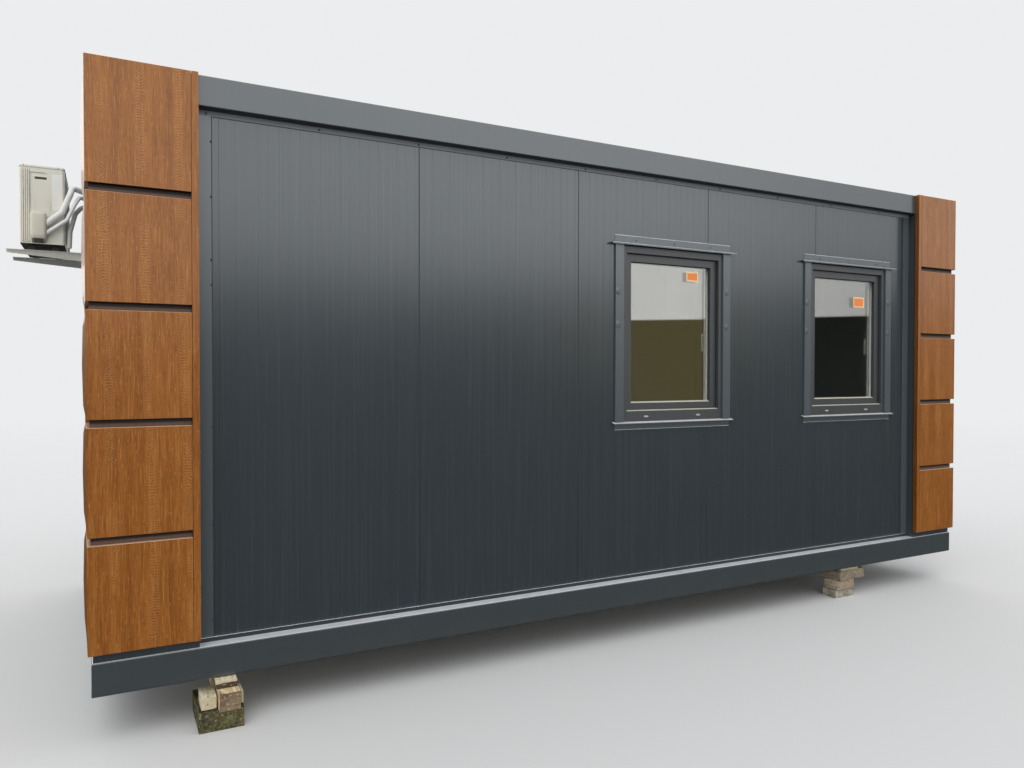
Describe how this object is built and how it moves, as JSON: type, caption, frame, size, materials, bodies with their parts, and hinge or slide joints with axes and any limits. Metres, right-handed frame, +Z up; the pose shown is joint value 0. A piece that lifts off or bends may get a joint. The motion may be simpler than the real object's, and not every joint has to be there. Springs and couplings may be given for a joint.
{
  "type": "portable site cabin",
  "caption": "Flat-roofed portable site cabin with dark ribbed panel walls, wood-look corner columns, side windows and a wall-hung cooling unit, raised on blocks and timbers.",
  "frame": {"origin": "middle of the whole part's outline in plan, at the level of the ground under its stacks", "axes": "+X along the windowed side from the end with the cooling unit, +Y from that side to the door side, +Z up"},
  "size_m": [6.526, 3.21, 3],
  "materials": {
    "frame_paint": "anthracite satin paint on folded steel, dusty",
    "panel_coat": "anthracite satin coil coat with fine upright ribs",
    "trim_coat": "anthracite satin coil coat on folded sheet",
    "roof_coat": "light grey coil coat",
    "wood_look": "steel trays printed with an oak grain, satin",
    "backing": "dark brown satin behind the grooves",
    "galvanised": "plain galvanised steel",
    "deck_board": "brown faced board",
    "window_profile": "anthracite foil outside, white inside",
    "glazing": "clear double glazing",
    "white_plastic": "white moulded",
    "door_paint": "anthracite satin paint",
    "door_metal": "satin",
    "unit_shell": "warm light grey powder coat",
    "unit_plastic": "warm light grey moulded",
    "unit_dark": "black moulded",
    "bracket_steel": "light grey powder coat",
    "pipe_wrap": "white insulation wrap",
    "concrete": "rough weathered concrete, mossy",
    "timber": "weathered sawn softwood"
  },
  "bodies": {
    "root": {"base_beam_front": "frame_paint", "base_beam_back": "frame_paint", "base_beam_left": "frame_paint", "base_beam_right": "frame_paint", "floor_joists": "galvanised", "floor_deck": "deck_board", "corner_posts": "frame_paint", "roof_beam_front": "frame_paint", "roof_beam_back": "frame_paint", "roof_beam_left": "frame_paint", "roof_beam_right": "frame_paint", "roof_panels": "roof_coat", "front_wall": "panel_coat", "window_wall": "panel_coat", "back_wall": "panel_coat", "left_wall": "panel_coat", "right_wall": "panel_coat", "column_casings": "frame_paint", "cladding_backings": "backing", "cladding_front": "wood_look", "cladding_back": "wood_look", "corner_flashings": "trim_coat", "top_flashings": "trim_coat", "base_flashings": "trim_coat", "window_frames": "window_profile", "window_sashes": "window_profile", "window_glass": "glazing", "window_handles": "white_plastic", "window_side_trims": "trim_coat", "window_flashings": "trim_coat", "door_frame": "door_paint", "door_leaf": "door_paint", "door_fittings": "door_metal", "door_trims": "trim_coat", "unit_casing": "unit_shell", "unit_lid": "unit_shell", "unit_valve_cover": "unit_plastic", "unit_grille": "unit_dark", "unit_fan": "unit_dark", "unit_bracket": "bracket_steel", "unit_pipes": "pipe_wrap", "stack_blocks": "concrete", "stack_timbers_low": "timber", "stack_timbers_high": "timber", "stack_packers": "timber"}
  },
  "joints": []
}
